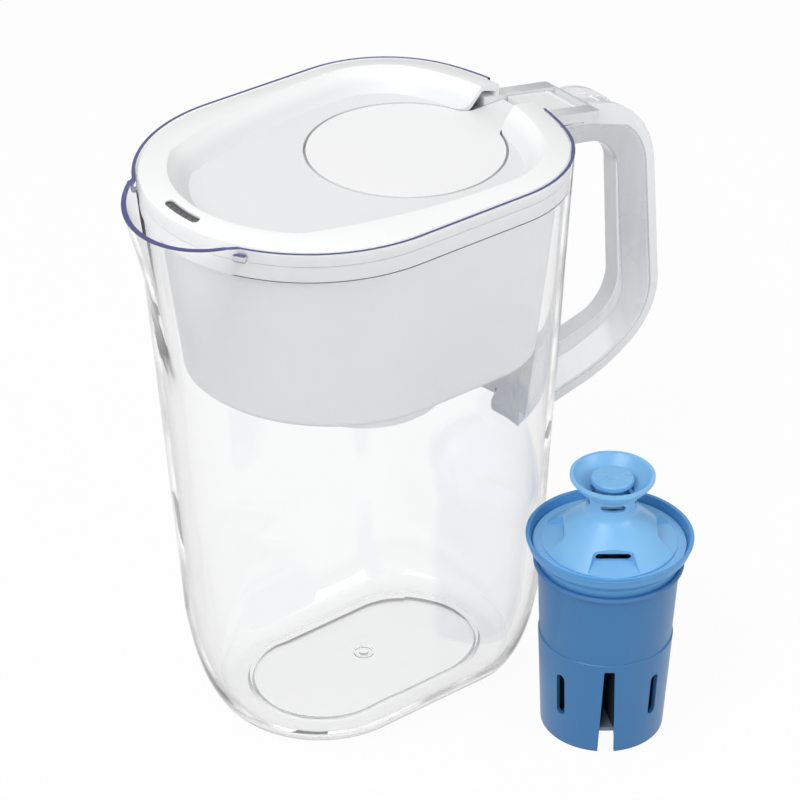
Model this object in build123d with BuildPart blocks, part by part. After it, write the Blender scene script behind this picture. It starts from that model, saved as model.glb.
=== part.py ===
from build123d import *
from math import atan2, cos, degrees, pi, radians, sin, sqrt, tan
import os

# Water filter pitcher: a clear jug with a strapped handle, a white reservoir and lid that
# lift out, a flip-up fill door driven by a thumb lever, and a blue filter cartridge that
# stands beside it. Millimetres. +X points to the handle, the spout is at -X, +Z is up and
# the origin is on the standing surface, under the middle of the mouth.

# Jug outline at the rim and where its walls would meet the ground
rim_height = 257.7
rim_half_width = 71.5
rim_front = 90.7
rim_back = 90.5
rim_corner = 52.0
rim_end_radius = 110.0
base_half_width = 55.5
base_front = 71.6
base_back = 86.6
base_corner = 40.0
base_end_radius = 62.0
wall = 2.6
rim_wall = 1.4
ledge_drop = 13.4
foot_rise = 54.6
foot_inset = 15.8
floor_thickness = 3.0
punt_depth = 2.6
punt_half_width = 34.6
punt_half_length = 57.5
base_centre = 7.9
gate_radius = 2.2
gate_height = 1.2
gate_ring_radius = 4.6
gate_ring_wall = 0.8
punt_taper = 20.0
cut_over = 1.0

# Spout
spout_radius = 41.0
spout_centre = -62.0
spout_foot_radius = 34.0
spout_foot_sink = 0.6
spout_fall = 104.0
spout_sections = 6
lip_wall = 2.2
lip_drop = 4.0
lip_slope_start = -85.0
lip_trim = 5.0
lug_width = 5.5
lug_height = 3.4
lug_reach = 1.9
lug_drop = 3.8
lug_round = 0.9

# Handle: the line where the clear core meets the white cover, seen from the side
handle_top_drop = 14.3
handle_knee_out = 153.1
handle_knee_drop = 25.9
handle_heel_reach = 9.8
handle_heel_drop = 124.9
handle_sole_back = 25.2
handle_sole_drop = 18.0
handle_root_drop = 12.1
knee_radius = 32.0
heel_radius = 27.0
sole_radius = 75.0
core_width = 19.0
core_nose_width = 8.0
core_depth = 12.0
core_edge = 1.5
core_round = 1.6
cover_width = 20.4
cover_thickness = 5.3
cover_round = 1.8
cover_gap = 0.6
shoulder_sink = 0.2
shoulder_mid_back = 15.1
shoulder_mid_rise = 9.1
shoulder_end_run = 0.4
shoulder_end_fall = 5.4
flange_width = 2.6
panel_drop = 1.4
panel_back = 18.1
panel_rise = 8.0
panel_slot_length = 2.0
panel_slot_width = 12.4
panel_slot_depth = 0.6
panel_slot_lean = 21.0
route_root = 6.0
route_low_root = 4.0
grip_thickness = 1.0
grip_width = 8.0
grip_drop = 33.7
grip_sink = 0.7
grip_corner_back = 2.7
grip_corner_rise = 5.1
grip_corner_radius = 19.0
grip_low_rise = 6.8
saddle_thickness = 2.0
saddle_rise = 4.9
saddle_height = 40.4
saddle_low_half = 17.0
saddle_high_half = 25.0
saddle_notch_half = 8.0
saddle_notch_rise = 3.0
saddle_step_half = 3.0
saddle_step_rise = 4.5
saddle_sink = 6.0
saddle_reach = 12.0

# Reservoir
hang_clearance = 0.3
rest_clearance = 0.2
collar_height = 6.6
collar_wall = 1.8
reservoir_wall = 1.8
reservoir_floor = 2.2
reservoir_bottom = 170.0
reservoir_round = 3.2
tub_top_half_width = 66.0
tub_top_front = 81.6
tub_top_back = 84.0
tub_top_corner = 44.0
tub_top_end_radius = 96.0
tub_low_half_width = 62.6
tub_low_front = 71.6
tub_low_back = 73.0
tub_low_corner = 38.0
tub_low_end_radius = 110.0
hanger_thickness = 2.0
sleeve_clearance = 0.4
sleeve_wall = 2.3
sleeve_bottom = 145.0
sleeve_top = 188.0
sleeve_mouth = 3.0
sleeve_mouth_flare = 1.7

# Lid
skirt_wall = 2.0
lid_thickness = 2.4
crown_rise = 1.8
crown_inset = 8.0
bowl_drop = 7.4
bowl_front = 76.5
bowl_nose_x = -56.0
bowl_nose_half_width = 44.0
bowl_nose_turn = 128.0
bowl_side_x = -14.0
bowl_side_half_width = 55.8
bowl_side_turn = 99.0
bowl_widest_x = 31.0
bowl_back = 79.0
bowl_half_width = 60.3
bowl_corner = 38.0
bowl_end_radius = 84.0
bowl_slope_run = 8.5
door_radius = 41.0
door_centre = 29.6
door_gap = 1.2
door_thickness = 2.4
door_rim_depth = 3.2
door_rim_wall = 1.4
door_rim_inset = 2.6
seat_width = 2.0
seat_clearance = 0.4
seat_thickness = 1.2
seat_wall = 1.6
arm_width = 20.4
arm_gap = 0.4
arm_end = 89.9
arm_flare = 6.5
vent_x = -82.4
vent_half_length = 8.6
vent_width = 3.8
vent_clearance = 0.05
vent_curve_radius = 63.0
vent_rise = 0.9
vent_thickness = 1.6
vent_border = 0.7
vent_recess = 0.4
vent_slits = 5
vent_slit_width = 0.6

# Tongue: two rails over the handle, with the lever between them
rail_width = 6.6
rail_thickness = 4.0
rail_start = 80.0
rail_start_drop = 3.6
rail_root = 1.2
rail_end = 121.0
rail_fall_angle = 10.3
rail_round = 1.4
rail_corner = 2.4
rail_gap = 0.4
rail_cover = 1.0
tie_length = 2.0
notch_clearance = 0.6
notch_drop = 17.5
notch_reach = 12.0
well_overhang = 3.0
bay_length = 7.8

# Hinges
hinge_x = 87.4
hinge_drop = 10.3
hinge_pin_radius = 1.1
hinge_bore_clearance = 0.05
knuckle_radius = 2.6
knuckle_width = 4.6
pin_reach = 3.0
tail_length = 6.6
tail_drop = 0.4
tail_root = 3.0
tail_thickness = 1.4
tail_half_width = 4.6
lever_front = 92.7
lever_back = 115.4
lever_pin_x = 113.6
lever_pin_drop = 3.2
lever_thickness = 2.0
lever_rise = 0.6
lever_sink = 1.2
lever_rib = 1.8
lever_lip_gap = 0.4

# Filter cartridge, standing beside the jug with its notch turned out
cartridge_x = 66.3
cartridge_y = -93.3
notch_azimuth = -127.7
shell_base_radius = 26.6
seam_height = 46.5
seam_slope = 0.4
shell_seam_radius = 28.9
shell_top_radius = 30.3
lip_height = 95.0
lip_depth = 8.6
lip_radius = 35.5
lip_band = 1.2
lip_band_rise = 4.4
lip_bead = 0.6
lip_bead_height = 1.0
lip_edge = 0.8
shell_wall = 1.6
seam_step = 0.5
dish_depth = 4.4
slot_low = 15.0
slot_high = 36.0
slot_width = 4.4
skirt_slots = 4
gap_top_width = 4.5
gap_low_width = 7.0
gap_top = 43.5
gap_round = 0.8
media_floor = 9.7
web_bite = 0.5
stack_gap = 0.2
cap_seat = 0.1
cap_flange_gap = 1.6
cap_flange_thickness = 0.9
dome_radius = 28.6
dome_drop = 2.6
dome_wall = 1.5
dome_waist_radius = 19.0
dome_waist_share = 0.44
dome_throat_radius = 13.4
dome_throat_share = 0.7
neck_rise = 16.0
neck_length = 5.6
neck_radius = 10.6
neck_wall = 1.5
knob_radius = 17.9
knob_depth = 8.4
knob_wall = 1.6
knob_lip = 1.5
knob_edge = 1.2
knob_bowl_radius = 14.6
knob_bowl_rise = 3.0
button_radius = 9.05
button_thickness = 2.4
button_drop = 1.2
button_round = 1.0
stem_radius = 3.0
stem_drop = 1.0
stem_rib = 1.4
stem_rib_count = 2
rib_clearance = 0.02
window_width = 10.4
window_height = 2.8
window_rise = 1.6
scoop_count = 4
scoop_radius = 19.6
scoop_half_width = 8.2
scoop_foot_half_width = 12.4
scoop_rise = 2.0
scoop_foot_drop = 0.7
scoop_wall = 1.2
scoop_slot_width = 15.0
scoop_slot_height = 3.2
scoop_slot_sill = 0.5
crescent_radius = 30.9
crescent_half_angle = 17.0
crescent_width = 1.3
seal_section = 1.1
seal_bite = 0.3
seal_drop = 4.4
media_clearance = 0.3
cap_plate = 2.0
pleat_count = 28
pleat_outer = 24.6
pleat_inner = 11.0
pleat_sheet = 1.1
pleat_crest = 4.4
pleat_headroom = 6.0
tube_radius = 8.4
tube_wall = 1.4
tube_hole_radius = 1.3
tube_rows = 5
tube_holes = 6
screen_thickness = 0.8
screen_hole = 1.2
screen_pitch = 3.4
screen_rows = 7

os.makedirs("parts", exist_ok=True)


def oval(height, half_width, front, back, corner, end_radius, inset=0.0):
    """Plan outline: a half round at the spout end, a flatter arch at the handle end."""
    side = half_width - corner
    end_x = back - end_radius
    corner_x = end_x + sqrt((end_radius - corner) ** 2 - side**2)
    angle = atan2(side, corner_x - end_x)
    half_turn = (angle + pi / 2) / 2
    nose_x = half_width - front
    edge = half_width - inset
    turn_radius = corner - inset
    join_x = end_x + (end_radius - inset) * cos(angle)
    join_y = (end_radius - inset) * sin(angle)
    mid_x = corner_x + turn_radius * cos(half_turn)
    mid_y = side + turn_radius * sin(half_turn)
    with BuildSketch(Plane.XY.offset(height)) as outline:
        with BuildLine():
            ThreePointArc((nose_x, edge), (inset - front, 0), (nose_x, -edge))
            Line((nose_x, -edge), (corner_x, -edge))
            ThreePointArc((corner_x, -edge), (mid_x, -mid_y), (join_x, -join_y))
            ThreePointArc((join_x, -join_y), (back - inset, 0), (join_x, join_y))
            ThreePointArc((join_x, join_y), (mid_x, mid_y), (corner_x, edge))
            Line((corner_x, edge), (nose_x, edge))
        make_face()
    return outline.sketch


def jug_oval(height, inset=0.0):
    """The jug's outer outline at a height, drawn in by an inset."""
    share = height / rim_height
    return oval(
        height,
        base_half_width + (rim_half_width - base_half_width) * share,
        base_front + (rim_front - base_front) * share,
        base_back + (rim_back - base_back) * share,
        base_corner + (rim_corner - base_corner) * share,
        base_end_radius + (rim_end_radius - base_end_radius) * share,
        inset,
    )


def foot_sections(floor, inset):
    """Outlines of the rounded foot, from its flat up to the straight wall."""
    steps = 6
    turns = [radians(90 * step / steps) for step in range(steps + 1)]
    return [
        jug_oval(
            floor + (foot_rise - floor) * (1 - cos(turn)),
            inset + foot_inset * (1 - sin(turn)),
        )
        for turn in turns
    ]


def spout_circle(height, inset):
    """The spout's round section, which shrinks and draws in below the lip."""
    share = (rim_height - height) / spout_fall
    wall_front = base_front + (rim_front - base_front) * height / rim_height
    reach = (spout_radius - spout_centre - rim_front) * (1 - share) ** 2
    radius = spout_radius + (spout_foot_radius - spout_radius) * share
    with BuildSketch(Plane.XY.offset(height)) as outline:
        with Locations((radius - wall_front - reach + spout_foot_sink * share, 0)):
            Circle(radius - inset)
    return outline.sketch


def spout_stack(top, inset):
    """The spout's round sections from its foot on the wall up to the lip."""
    steps = [step / (spout_sections - 1) for step in range(spout_sections)]
    return [spout_circle(spout_low + (top - spout_low) * step, inset) for step in steps]


def plan_sweep(outline, low, high):
    """An upright prism of a plan outline between two heights."""
    return extrude(outline, amount=high - low, dir=(0, 0, 1), mode=Mode.PRIVATE)


ledge_height = rim_height - ledge_drop
handle_top_root = rim_height - handle_top_drop
handle_knee_height = rim_height - handle_knee_drop
handle_heel_out = handle_knee_out + handle_heel_reach
handle_heel_height = rim_height - handle_heel_drop
handle_sole_out = handle_heel_out - handle_sole_back
handle_sole_height = handle_heel_height - handle_sole_drop
handle_low_root = handle_sole_height - handle_root_drop
grip_high = rim_height - grip_drop
grip_top_out = handle_knee_out - core_depth + grip_sink
grip_corner_out = handle_heel_out - core_depth - grip_corner_back
grip_corner_height = handle_heel_height + grip_corner_rise
grip_low_root = handle_low_root + core_depth + grip_low_rise
saddle_low = handle_low_root + saddle_rise
saddle_high = saddle_low + saddle_height
hinge_height = rim_height - hinge_drop
notch_floor = rim_height - notch_drop
jug_back_at_handle = base_back + (rim_back - base_back) * handle_top_root / rim_height
tongue_half = arm_width / 2 + rail_gap + rail_width
ear_notch_floor = hinge_height - knuckle_radius - notch_clearance
notch_length = 2 * (rim_back - tub_top_back) + notch_reach
spout_low = rim_height - spout_fall


def tongue_notch():
    """Space that the tongue, its ears and the door's tail need in the back of the rim."""
    tongue_width = 2 * (tongue_half + notch_clearance)
    with BuildPart() as notch:
        with BuildSketch(Plane.XY.offset(ear_notch_floor)) as ear_plan:
            with Locations((rim_back, 0)):
                Rectangle(notch_length, tongue_width)
        extrude(amount=rim_height - ear_notch_floor)
        with BuildSketch(Plane.XY.offset(notch_floor)) as tail_plan:
            with Locations((rim_back, 0)):
                Rectangle(notch_length, arm_width + 2 * notch_clearance)
        extrude(amount=rim_height - notch_floor)
    return notch.part


rim_centre = rim_half_width - rim_front
lug_x = (rim_half_width**2 - spout_radius**2 - rim_centre**2 + spout_centre**2) / (
    2 * (spout_centre - rim_centre)
)
lug_y = sqrt(spout_radius**2 - (lug_x - spout_centre) ** 2)


def lip_lug(side):
    """Rounded lug across the wall, where the lip meets the rim on one side."""
    turn = degrees(atan2(side * lug_y, lug_x - rim_centre))
    with BuildPart() as lug:
        Box(2 * lug_reach, lug_width, lug_height)
        fillet(lug.edges(), lug_round)
    return lug.part.moved(Location((lug_x, side * lug_y, rim_height - lug_drop), (0, 0, turn)))


# Solid of the jug's outside, kept to trim what joins it
with BuildPart() as jug_outside:
    loft(foot_sections(0.0, 0.0))
    loft([jug_oval(foot_rise), jug_oval(rim_height)], ruled=True)
    loft(spout_stack(rim_height, 0.0))

# Pitcher body: one clear moulding with its spout, ledge, raised floor and gate mark
with BuildPart() as pitcher_body:
    add(jug_outside.part)
    loft(foot_sections(floor_thickness, wall), mode=Mode.SUBTRACT)
    loft(
        [jug_oval(foot_rise, wall), jug_oval(rim_height + cut_over, wall)],
        ruled=True,
        mode=Mode.SUBTRACT,
    )
    loft(
        [jug_oval(ledge_height, rim_wall), jug_oval(rim_height + cut_over, rim_wall)],
        ruled=True,
        mode=Mode.SUBTRACT,
    )
    loft(spout_stack(rim_height + cut_over, lip_wall), mode=Mode.SUBTRACT)
    # The lip falls towards its tip
    with BuildSketch(Plane.XZ) as lip_side:
        with BuildLine():
            Polyline(
                (lip_slope_start, rim_height),
                (spout_centre - spout_radius, rim_height - lip_drop),
                (spout_centre - spout_radius - lip_trim, rim_height - lip_drop),
                (spout_centre - spout_radius - lip_trim, rim_height + lip_trim),
                (lip_slope_start, rim_height + lip_trim),
                close=True,
            )
        make_face()
    extrude(amount=spout_radius + lip_trim, both=True, mode=Mode.SUBTRACT)
    # Raised racetrack panel in the floor, over a shallow hollow under the foot
    with BuildSketch(Plane.XY) as panel_low:
        with Locations((base_centre, 0)):
            SlotOverall(2 * punt_half_length, 2 * punt_half_width)
    extrude(amount=punt_depth + floor_thickness, taper=punt_taper)
    with BuildSketch(Plane.XY) as punt:
        with Locations((base_centre, 0)):
            SlotOverall(
                2 * (punt_half_length - floor_thickness),
                2 * (punt_half_width - floor_thickness),
            )
    extrude(amount=punt_depth, taper=punt_taper, mode=Mode.SUBTRACT)
    with BuildSketch(Plane.XY.offset(punt_depth + floor_thickness)) as gate:
        with Locations((base_centre, 0)):
            Circle(gate_ring_radius)
            Circle(gate_ring_radius - gate_ring_wall, mode=Mode.SUBTRACT)
            Circle(gate_radius)
    extrude(amount=gate_height)
    # Opening in the back of the rim for the lid's tongue
    add(tongue_notch(), mode=Mode.SUBTRACT)
    for side in (-1, 1):
        add(lip_lug(side))
pitcher_body.part.label = "pitcher_body"

# Route of the handle, as the line between its clear core and its white cover
with BuildLine(Plane.XZ) as handle_route:
    FilletPolyline(
        (jug_back_at_handle - route_root, handle_top_root),
        (handle_knee_out, handle_knee_height),
        (handle_heel_out, handle_heel_height),
        (handle_sole_out, handle_sole_height),
        (base_back - route_low_root, handle_low_root),
        radius=[knee_radius, heel_radius, sole_radius],
    )
route = handle_route.wires()[0]
root_plane = Plane(origin=route @ 0, x_dir=(0, 1, 0), z_dir=route % 0)


def finger_line(depth):
    """Line of the handle's finger side, or a line at a depth behind it."""
    return FilletPolyline(
        (grip_top_out + depth, grip_high),
        (grip_corner_out + depth, grip_corner_height - depth),
        (base_back - route_low_root, grip_low_root - depth),
        radius=grip_corner_radius + depth,
    )


with BuildLine(Plane.XZ) as grip_route:
    finger_line(grip_thickness / 2)
grip_wire = grip_route.wires()[0]

cover_start = rail_end + cover_gap


def lever_well():
    """Space over the handle's root that the lever and the door's tail move in."""
    start = jug_back_at_handle - well_overhang
    with BuildPart() as well:
        with BuildSketch(Plane.XY.offset(notch_floor)) as well_plan:
            with Locations(((start + cover_start) / 2, 0)):
                Rectangle(cover_start - start, cover_width + 2 * cut_over)
        extrude(amount=rim_height - notch_floor)
    return well.part


def rail_top(x):
    """Height of the tongue's top at a distance towards the handle."""
    return rim_height - rail_start_drop - tan(radians(rail_fall_angle)) * (x - rail_start)


# Clear core of the handle: tapers towards the fingers and spreads into a saddle on the wall
with BuildPart() as handle_core:
    with BuildSketch(root_plane) as core_section:
        with BuildLine():
            Polyline(
                (-core_width / 2, 0),
                (core_width / 2, 0),
                (core_width / 2, -core_edge),
                (core_nose_width / 2, -core_depth),
                (-core_nose_width / 2, -core_depth),
                (-core_width / 2, -core_edge),
                close=True,
            )
        make_face()
        fillet(core_section.vertices().group_by(Axis.Y)[0], core_round)
    sweep(path=route)
    # Web that deepens the core between the grip and the jug's wall
    with BuildSketch(Plane.XZ) as web_side:
        with BuildLine() as web_line:
            finger_line(grip_thickness)
            Polyline(
                web_line.line @ 1,
                (base_back - route_low_root, handle_low_root + core_depth / 2),
                (handle_sole_out - core_depth / 4, handle_sole_height + core_depth / 2),
                (handle_heel_out - 3 * core_depth / 4, handle_heel_height + core_depth / 2),
                (grip_top_out + core_depth / 2, grip_high),
                (grip_top_out + grip_thickness, grip_high),
            )
        make_face()
    extrude(amount=core_nose_width / 2, both=True)
    # Saddle against the wall, with the stepped edge of its clip
    with BuildSketch(Plane.YZ.offset(base_back - saddle_sink)) as saddle_side:
        with BuildLine():
            Polyline(
                (-saddle_step_half, saddle_low + saddle_step_rise),
                (saddle_step_half, saddle_low + saddle_step_rise),
                (saddle_step_half, saddle_low + saddle_notch_rise),
                (saddle_notch_half, saddle_low + saddle_notch_rise),
                (saddle_notch_half, saddle_low),
                (saddle_low_half, saddle_low),
                (saddle_high_half, saddle_high),
                (-saddle_high_half, saddle_high),
                (-saddle_low_half, saddle_low),
                (-saddle_notch_half, saddle_low),
                (-saddle_notch_half, saddle_low + saddle_notch_rise),
                (-saddle_step_half, saddle_low + saddle_notch_rise),
                close=True,
            )
        make_face()
    saddle_block = extrude(amount=saddle_reach, mode=Mode.PRIVATE)
    saddle_skin = loft(
        [
            jug_oval(saddle_low - cut_over, -saddle_thickness),
            jug_oval(saddle_high + cut_over, -saddle_thickness),
        ],
        ruled=True,
        mode=Mode.PRIVATE,
    )
    add(saddle_block & saddle_skin)
    add(lever_well(), mode=Mode.SUBTRACT)
    add(jug_outside.part, mode=Mode.SUBTRACT)
handle_core.part.label = "handle_core"

# White cover strap on the outside of the core
with BuildPart() as handle_cover:
    with BuildSketch(root_plane) as cover_section:
        with Locations((0, cover_thickness / 2)):
            Rectangle(cover_width, cover_thickness)
        fillet(cover_section.vertices().group_by(Axis.Y)[-1], cover_round)
    sweep(path=route)
    # Shoulder that rises to the lid's tongue: two side flanges with a sunk panel between
    shoulder_top = rail_top(cover_start) - shoulder_sink
    shoulder_mid = (handle_knee_out - shoulder_mid_back, handle_knee_height + shoulder_mid_rise)
    shoulder_end = (handle_knee_out + shoulder_end_run, handle_knee_height - shoulder_end_fall)
    panel_end = (handle_knee_out - panel_back, handle_knee_height + panel_rise)
    for side in (-1, 1):
        with BuildSketch(Plane.XZ.offset(side * (cover_width - flange_width) / 2)) as flange:
            with BuildLine():
                ThreePointArc((cover_start, shoulder_top), shoulder_mid, shoulder_end)
                Polyline(
                    shoulder_end,
                    (cover_start, handle_knee_height + cover_thickness),
                    (cover_start, shoulder_top),
                )
            make_face()
        extrude(amount=flange_width / 2, both=True)
    with BuildSketch(Plane.XZ) as panel:
        with BuildLine():
            Polyline(
                (cover_start, shoulder_top - panel_drop),
                panel_end,
                (panel_end[0], panel_end[1] - cover_thickness / 2),
                (cover_start, handle_knee_height + cover_thickness),
                close=True,
            )
        make_face()
    extrude(amount=cover_width / 2, both=True)
    with Locations(Location((panel_end[0], 0, panel_end[1]), (0, panel_slot_lean, 0))):
        Box(panel_slot_length, panel_slot_width, 2 * panel_slot_depth, mode=Mode.SUBTRACT)
    add(lever_well(), mode=Mode.SUBTRACT)
    add(jug_outside.part, mode=Mode.SUBTRACT)
    add(handle_core.part, mode=Mode.SUBTRACT)
handle_cover.part.label = "handle_cover"

# Light strip on the finger side, from the knee down to the jug's wall
with BuildPart() as handle_grip:
    with BuildSketch(
        Plane(origin=grip_wire @ 0, x_dir=(0, 1, 0), z_dir=grip_wire % 0)
    ) as grip_section:
        Rectangle(grip_width, grip_thickness)
    sweep(path=grip_wire)
    add(jug_outside.part, mode=Mode.SUBTRACT)
    add(handle_core.part, mode=Mode.SUBTRACT)
handle_grip.part.label = "handle_grip"


def tub_oval(height, inset):
    """The reservoir's outer outline at a height, drawn in by an inset."""
    share = (height - reservoir_bottom) / (ledge_height - reservoir_bottom)
    return oval(
        height,
        tub_low_half_width + (tub_top_half_width - tub_low_half_width) * share,
        tub_low_front + (tub_top_front - tub_low_front) * share,
        tub_low_back + (tub_top_back - tub_low_back) * share,
        tub_low_corner + (tub_top_corner - tub_low_corner) * share,
        tub_low_end_radius + (tub_top_end_radius - tub_low_end_radius) * share,
        inset,
    )


sleeve_bore = shell_top_radius + sleeve_clearance
collar_low = ledge_height + rest_clearance
collar_top = collar_low + collar_height

# Reservoir: a tub that hangs by its collar, with a sleeve through its floor
with BuildPart() as reservoir:
    loft([tub_oval(reservoir_bottom, 0), tub_oval(collar_low + hanger_thickness, 0)], ruled=True)
    fillet(reservoir.faces().sort_by(Axis.Z)[0].edges(), reservoir_round)
    collar_outline = jug_oval(ledge_height, rim_wall + hang_clearance)
    add(plan_sweep(Pos(0, 0, rest_clearance) * collar_outline, collar_low, collar_top))
    with Locations((base_centre, 0, sleeve_bottom)):
        Cylinder(
            sleeve_bore + sleeve_wall,
            reservoir_bottom + reservoir_floor - sleeve_bottom,
            align=(Align.CENTER, Align.CENTER, Align.MIN),
        )
    loft(
        [
            tub_oval(reservoir_bottom + reservoir_floor, reservoir_wall),
            tub_oval(collar_low + hanger_thickness, reservoir_wall),
        ],
        ruled=True,
        mode=Mode.SUBTRACT,
    )
    collar_inside = jug_oval(ledge_height, rim_wall + hang_clearance + collar_wall)
    add(
        plan_sweep(
            Pos(0, 0, rest_clearance + hanger_thickness) * collar_inside,
            collar_low + hanger_thickness,
            collar_top + cut_over,
        ),
        mode=Mode.SUBTRACT,
    )
    with Locations((base_centre, 0, reservoir_bottom + reservoir_floor / 2)):
        Cylinder(
            sleeve_bore + sleeve_wall,
            sleeve_top - reservoir_bottom - reservoir_floor / 2,
            align=(Align.CENTER, Align.CENTER, Align.MIN),
        )
    with Locations((base_centre, 0, sleeve_bottom - cut_over)):
        Cylinder(
            sleeve_bore,
            sleeve_top - sleeve_bottom + 2 * cut_over,
            align=(Align.CENTER, Align.CENTER, Align.MIN),
            mode=Mode.SUBTRACT,
        )
    with Locations((base_centre, 0, sleeve_top - sleeve_mouth / 2)):
        Cone(
            sleeve_bore,
            sleeve_bore + sleeve_mouth_flare,
            sleeve_mouth,
            mode=Mode.SUBTRACT,
        )
    add(tongue_notch(), mode=Mode.SUBTRACT)
reservoir.part.label = "reservoir"

lid_outline_inset = rim_wall + hang_clearance
lid_low = collar_top + rest_clearance
crown_height = rim_height + crown_rise
bowl_floor = rim_height - bowl_drop


def bowl_oval(height, grow):
    """The sunk basin's egg-shaped outline, which narrows towards its floor."""
    inset = bowl_slope_run * (crown_height - height) / (crown_height - bowl_floor) - grow
    side = bowl_half_width - bowl_corner
    end_x = bowl_back - bowl_end_radius
    corner_x = end_x + sqrt((bowl_end_radius - bowl_corner) ** 2 - side**2)
    angle = atan2(side, corner_x - end_x)
    half_turn = (angle + pi / 2) / 2
    edge = bowl_half_width - inset
    turn_radius = bowl_corner - inset
    join_x = end_x + (bowl_end_radius - inset) * cos(angle)
    join_y = (bowl_end_radius - inset) * sin(angle)
    mid_x = corner_x + turn_radius * cos(half_turn)
    mid_y = side + turn_radius * sin(half_turn)
    nose_x = bowl_nose_x - inset * cos(radians(bowl_nose_turn))
    nose_y = bowl_nose_half_width - inset * sin(radians(bowl_nose_turn))
    side_x = bowl_side_x - inset * cos(radians(bowl_side_turn))
    side_y = bowl_side_half_width - inset * sin(radians(bowl_side_turn))
    with BuildSketch(Plane.XY.offset(height)) as outline:
        with BuildLine():
            ThreePointArc((nose_x, nose_y), (inset - bowl_front, 0), (nose_x, -nose_y))
            ThreePointArc((nose_x, -nose_y), (side_x, -side_y), (bowl_widest_x, -edge))
            Line((bowl_widest_x, -edge), (corner_x, -edge))
            ThreePointArc((corner_x, -edge), (mid_x, -mid_y), (join_x, -join_y))
            ThreePointArc((join_x, -join_y), (bowl_back - inset, 0), (join_x, join_y))
            ThreePointArc((join_x, join_y), (mid_x, mid_y), (corner_x, edge))
            Line((corner_x, edge), (bowl_widest_x, edge))
            ThreePointArc((bowl_widest_x, edge), (side_x, side_y), (nose_x, nose_y))
        make_face()
    return outline.sketch


seat_top = bowl_floor - door_thickness - seat_clearance
through_depth = 2 * bowl_drop


def tongue_block():
    """The tongue's solid before the lever bay is cut, with rounded ends."""
    with BuildPart() as tongue:
        with BuildSketch(Plane.XZ) as rail_side:
            with BuildLine():
                Polyline(
                    (rail_start, rail_top(rail_start)),
                    (rail_end, rail_top(rail_end)),
                    (rail_end, rail_top(rail_end) - rail_thickness),
                    (rail_start, rail_top(rail_start) - rail_thickness - rail_root),
                    close=True,
                )
            make_face()
            fillet(rail_side.vertices().group_by(Axis.X)[-1], rail_round)
        extrude(amount=tongue_half, both=True)
        with BuildSketch(Plane.XY.offset(notch_floor)) as rail_plan:
            with Locations((rail_start, 0)):
                RectangleRounded(2 * (rail_end - rail_start), 2 * tongue_half, rail_corner)
        extrude(amount=rim_height - notch_floor, mode=Mode.INTERSECT)
    return tongue.part


def arm_channel():
    """Plan of the channel that the door's arm and the lever lie in."""
    with BuildSketch() as channel:
        with Locations(((door_centre + rail_end - tie_length) / 2, 0)):
            Rectangle(rail_end - tie_length - door_centre, arm_width + 2 * arm_gap)
    return channel.sketch


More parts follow.
